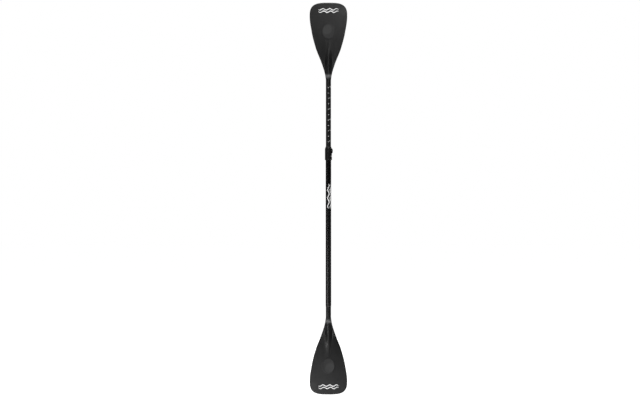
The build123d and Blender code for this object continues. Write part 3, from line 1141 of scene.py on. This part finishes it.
@dataclass
class Clamp:
    """The collar and its lever, as mouldings with softened edges and a ribbed thumb grip."""

    collar_voxel: float = 0.5 * MM  # how fine the collar is remeshed
    lever_voxel: float = 0.36 * MM  # how fine the lever is remeshed
    rib_count: int = 6  # ribs on the grip
    rib_height: float = 0.72  # its share of the lever's height
    rib_taper: float = 0.45  # how much its ends draw in, as a share of its radius
    rib_radius: float = 0.75 * MM  # radius of a rib
    rib_start: float = 84.0  # the first rib's place round the shaft, in degrees
    rib_step: float = 6.0  # from rib to rib
    arm_outer: float = 23.9 * MM  # radius of the arm's outer face

    def ribs(self) -> list[Piece]:
        """Upright ribs on the lever's arm, where a thumb takes hold."""
        low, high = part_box("clamp_lever")
        made = []
        for index in range(self.rib_count):
            angle = math.radians(self.rib_start + self.rib_step * index)
            place = (self.arm_outer * math.cos(angle), self.arm_outer * math.sin(angle), (low.z + high.z) / 2)
            clear()
            depth = (high.z - low.z) * self.rib_height
            bpy.ops.mesh.primitive_cylinder_add(
                vertices=20, radius=self.rib_radius, depth=depth, location=place
            )
            rib = take(f"rib_{index}")
            with editing(rib):
                pick(rib, "FACE", lambda face: abs(face.normal.z) > 0.9)
                taper = self.rib_radius * self.rib_taper
                bpy.ops.mesh.inset(thickness=taper, depth=taper)
            apply(rib)
            made.append(rib)
        return made

    def build(self, collar_finish: Finish, lever_finish: Finish) -> None:
        """Models the collar and the lever.

        Args:
            collar_finish: the collar's plastic.
            lever_finish: the lever's plastic.
        """
        collar = cast("clamp_collar", "collar_moulding", self.collar_voxel, 0.4)
        seat(collar, Body.MAIN, "clamp_plastic", collar_finish, "clamp_collar")
        lever = cast("clamp_lever", "lever_moulding", self.lever_voxel, 0.5, self.ribs())
        seat(lever, Body.LEVER, "lever_plastic", lever_finish, "clamp_lever")


@dataclass
class StopRing:
    """The ring under the main tube's end, with a crowned outside and rounded edges."""

    crown: float = 0.25 * MM  # how much the outside bulges
    edge: float = 0.5 * MM  # rounding of its edges
    segments: int = 144

    def build(self, finish: Finish) -> None:
        """Models the ring.

        Args:
            finish: its plastic.
        """
        low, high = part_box("stub_stop_ring")
        outer = high.x
        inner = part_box("lower_stub_tube")[1].x + 0.05 * MM
        tall = high.z - low.z
        edge = [
            (outer - self.edge, 0.0),
            (outer - self.edge * 0.3, self.edge * 0.3),
            (outer - self.crown * 0.5, self.edge),
        ]
        top = [(radius, tall - height) for radius, height in reversed(edge)]
        profile = [(inner, 0.0), *edge, (outer, tall / 2), *top, (inner, tall)]
        ring = turned("stop_ring", profile, self.segments, low.z)
        settle(ring)
        seat(ring, Body.MAIN, "stop_ring_plastic", finish, "stub_stop_ring")


@dataclass
class Paddle:
    """The whole paddle: its finishes, its two blades, the clamp and the prints."""

    mark_from_tip: float = 43 * MM  # from a blade's tip to its mark
    mark_size: tuple[float, float] = (111 * MM, 26 * MM)  # length and height of a blade's mark
    shaft_mark_size: tuple[float, float] = (136 * MM, 27 * MM)  # the same for the shaft's
    shaft_mark_z: float = 13 * MM  # height of its middle
    shaft_mark_turn: float = math.radians(26)  # its place round the tube
    scale_gap: float = 27.5 * MM  # from the collar to the lowest mark of the scale
    zero_length: float = 2.1165  # the paddle's length at that mark

    def finishes(self) -> dict[str, Finish]:
        """Builds every finish, by name."""
        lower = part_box("lower_blade")
        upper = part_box("upper_blade")
        pad = (Blade.pad_from_tip, Blade.pad_size)
        kinds = {
            "shaft": TubeCoat(
                "shaft_coat", grey(0.0008, 0.0009), grey(0.004, 0.0043), 0.15, 0.08, 0.02, 0.35
            ),
            "sliding": TubeCoat(
                "sliding_coat", grey(0.003, 0.0031), grey(0.014, 0.0145), 0.28, 0.1, 0.06, 0.42
            ),
            "lower_blade": BladeNylon("lower_blade_nylon", lower[0].z, lower[1].z, *pad),
            "upper_blade": BladeNylon("upper_blade_nylon", upper[1].z, upper[0].z, *pad),
            "collar": SparkPlastic(
                "collar_plastic", grey(0.002, 0.0021), grey(0.005, 0.0051), 0.36, shine=0.25
            ),
            "lever": SparkPlastic("lever_plastic", grey(0.002, 0.0021), grey(0.005, 0.0051), 0.32, shine=0.3),
            "ring": SparkPlastic("ring_plastic", grey(0.018), grey(0.035), 0.34, 0.02 * MM),
            "plug": SparkPlastic("plug_plastic", grey(0.03), grey(0.05), 0.55),
            "acetal": SparkPlastic("acetal", (0.7, 0.69, 0.65), (0.78, 0.77, 0.74), 0.35, 0.01 * MM),
            "black_steel": Steel("black_oxide_steel", grey(0.045, 0.048), 0.3),
            "bright_steel": Steel("stainless_steel", grey(0.5, 0.51), 0.22),
            "foam": CellFoam("cell_foam", grey(0.2, 0.21)),
            "ink": Ink("white_ink", grey(0.86), grey(0.6), 0.04),
            "tick_ink": Ink("tick_ink", grey(0.5), grey(0.3), 0.1),
            "number_ink": Ink("number_ink", grey(0.62), grey(0.4), 0.1),
        }
        return {name: kind.make() for name, kind in kinds.items()}

    def dress_nodes(self, finish: dict[str, Finish]) -> None:
        """Gives each frame node that stays its own finish.

        Args:
            finish: the finishes, by name.
        """
        worn_by = {
            "shaft": ("main_tube",),
            "sliding": ("upper_tube", "lower_stub_tube"),
            "lower_blade": ("lower_blade",),
            "upper_blade": ("upper_blade",),
            "collar": ("clamp_collar",),
            "lever": ("clamp_lever",),
            "ring": ("stub_stop_ring",),
            "plug": ("upper_end_plug",),
            "acetal": ("glide_ring",),
            "black_steel": ("clamp_bolt", "bolt_washer", "cam_washer", "pivot_barrel"),
            "bright_steel": ("lower_button", "upper_button", "lower_clip_spring", "upper_clip_spring"),
            "foam": ("main_foam_plug", "stub_foam_plug", "upper_foam_plug"),
        }
        for name, nodes in worn_by.items():
            for node in nodes:
                dress(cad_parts[node], finish[name])
                log.info("%s wears %s", node, name)

    def blade_mark(self, blade: Blade, ink: Finish) -> None:
        """Prints the wave mark across a blade, near its tip.

        Args:
            blade: the blade.
            ink: the ink.
        """
        line = blade.length - self.mark_from_tip

        def lay(along: float, up: float, lift: float) -> Vector:
            """A place on the blade's face."""
            return blade.print_point(along, line - up, lift)

        WaveMark(*self.mark_size).build(blade.node + "_mark", blade.body, ink, lay)

    def shaft_mark(self, ink: Finish) -> None:
        """Prints the wave mark along the main tube, partly round its side.

        Args:
            ink: the ink.
        """
        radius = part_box("main_tube")[1].x

        def lay(along: float, up: float, lift: float) -> Vector:
            """A place on the main tube."""
            angle = self.shaft_mark_turn + up / radius
            reach = radius + lift
            return Vector((reach * math.sin(angle), -reach * math.cos(angle), self.shaft_mark_z + along))

        WaveMark(*self.shaft_mark_size, strips=18).build("shaft_mark", Body.MAIN, ink, lay)

    def build(self) -> None:
        """Models and dresses the whole paddle."""
        finish = self.finishes()
        self.dress_nodes(finish)
        blades = (
            Blade("lower_blade", Body.MAIN, 1),
            Blade("upper_blade", Body.UPPER, -1, button="upper_button"),
        )
        for blade in blades:
            blade.build(finish[blade.node])
            self.blade_mark(blade, finish["ink"])
        self.shaft_mark(finish["ink"])
        Clamp().build(finish["collar"], finish["lever"])
        StopRing().build(finish["ring"])
        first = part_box("clamp_collar")[1].z + self.scale_gap
        scale = LengthScale(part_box("upper_tube")[1].x, first, self.zero_length)
        scale.build(finish["tick_ink"], finish["number_ink"])


# ---- studio


@dataclass
class Softbox:
    """A plain soft light that the camera doesn't see, turned towards the shaft."""

    name: str
    azimuth: float  # degrees round the shaft, 0 in front of the shown faces and positive to the right
    distance: float  # from the shaft
    height: float  # where its middle is
    aim: float  # height that it points at
    size: tuple[float, float]  # width and height
    radiance: float  # how bright it looks

    def build(self) -> None:
        """Adds the light."""
        data = bpy.data.lights.new(self.name, "AREA")
        data.shape = "RECTANGLE"
        data.size, data.size_y = self.size
        data.energy = self.radiance * math.pi * self.size[0] * self.size[1]
        lamp = bpy.data.objects.new(self.name, data)
        bpy.context.scene.collection.objects.link(lamp)
        turn = math.radians(self.azimuth)
        place = Vector((self.distance * math.sin(turn), -self.distance * math.cos(turn), self.height))
        lamp.location = place
        lamp.rotation_euler = (Vector((0, 0, self.aim)) - place).to_track_quat("-Z", "Y").to_euler()
        lamp.visible_camera = False


@dataclass
class Studio:
    """White studio: a pale floor just under the paddle, soft lights and a long lens from the front."""

    floor_drop: float = 40 * MM  # from the paddle's lowest point down to the floor
    floor_size: float = 90.0
    lens: float = 135.0
    frame_width: float = 3.5105  # width of the view at the shaft
    camera_offset: tuple[float, float] = (-46.2 * MM, -7.4 * MM)  # sideways and up
    ambient: float = 0.02  # the grey that lights the paddle

    def floor(self, lowest: float) -> None:
        """Lays the floor.

        Args:
            lowest: the paddle's lowest point.
        """
        clear()
        bpy.ops.mesh.primitive_plane_add(size=self.floor_size, location=(0, 0, lowest - self.floor_drop))
        floor = take("floor")
        settle(floor)
        kit = Kit("pale_floor")
        cloud = kit.noise(kit.place(), 0.6, 2, 0.5)
        tone = kit.colour(cloud, grey(0.46), grey(0.5))
        glow = {"Emission_Color": (1, 1, 1, 1), "Emission_Strength": 0.99}
        dress(floor, kit.feed(Base_Color=tone, Roughness=0.9, **glow))
        floor.visible_glossy = False
        floor.visible_diffuse = False
        floor.visible_shadow = False
        floor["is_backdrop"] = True

    def world(self) -> None:
        """White behind the paddle, and a dim grey that the paddle is lit by."""
        world = bpy.data.worlds.new("studio")
        bpy.context.scene.world = world
        world.use_nodes = True
        nodes, links = world.node_tree.nodes, world.node_tree.links
        nodes.clear()
        mix = nodes.new("ShaderNodeMixShader")
        for slot, tone in ((1, self.ambient), (2, 1.0)):
            shade = nodes.new("ShaderNodeBackground")
            shade.inputs["Color"].default_value = (tone, tone, tone, 1)
            links.new(shade.outputs[0], mix.inputs[slot])
        path = nodes.new("ShaderNodeLightPath")
        out = nodes.new("ShaderNodeOutputWorld")
        links.new(path.outputs["Is Camera Ray"], mix.inputs[0])
        links.new(mix.outputs[0], out.inputs["Surface"])

    def camera(self) -> None:
        """Sets the camera straight in front, far off with a long lens."""
        data = bpy.data.cameras.new("camera")
        data.lens = self.lens
        distance = self.frame_width * self.lens / data.sensor_width
        camera = bpy.data.objects.new("camera", data)
        bpy.context.scene.collection.objects.link(camera)
        camera.location = (self.camera_offset[0], -distance, self.camera_offset[1])
        camera.rotation_euler = (math.pi / 2, 0, 0)
        bpy.context.scene.camera = camera

    def lights(self) -> None:
        """Sets the soft lights: a ring high and low, panels for the tubes, a lamp for each blade."""
        for azimuth, radiance in ((0, 15.0), (90, 7.0), (180, 12.0), (270, 7.0)):
            for side in (-1, 1):
                Softbox(f"ring_{azimuth}_{side}", azimuth, 3.5, 4.5 * side, 0, (2.0, 2.0), radiance).build()
        boxes = (
            Softbox("left_low", -31, 4.0, -0.95, -0.95, (1.0, 1.05), 1.5),
            Softbox("left_tube", -31, 3.8, -0.64, -0.64, (0.95, 0.54), 9.0),
            Softbox("left_wide", -66, 4.0, -0.9, -0.9, (1.6, 1.0), 0.9),
            Softbox("front_low", 12, 5.0, -0.75, -0.75, (1.6, 0.8), 0.7),
            Softbox("right_low", 46, 4.2, -0.52, -0.52, (1.4, 0.4), 1.9),
            Softbox("left_high", -46, 4.0, 0.8, 0.8, (2.4, 0.8), 0.42),
            Softbox("front_high", -8, 5.0, 0.85, 0.85, (1.0, 0.9), 0.3),
            Softbox("low_blade", -9, 1.5, -0.88, -1.0, (0.5, 0.3), 2.8),
            Softbox("high_blade", 9, 1.5, 0.88, 1.0, (0.5, 0.3), 2.8),
            Softbox("right_side", 112, 4.0, 0.0, 0.0, (1.0, 2.8), 0.5),
            Softbox("left_side", -112, 4.0, 0.0, 0.0, (1.0, 2.8), 0.5),
            Softbox("behind", 180, 6.0, 0.0, 0.0, (1.4, 2.4), 2.0),
        )
        for box in boxes:
            box.build()

    def build(self) -> None:
        """Builds the studio."""
        self.floor(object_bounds()[0].z)
        self.world()
        self.camera()
        self.lights()
        bpy.context.scene.view_settings.view_transform = "Standard"


def main() -> None:
    """Builds the paddle and the studio."""
    logging.basicConfig(level=logging.INFO, format="%(name)s: %(message)s")
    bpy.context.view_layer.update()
    Paddle().build()
    Studio().build()


if __name__ == "__main__":
    main()
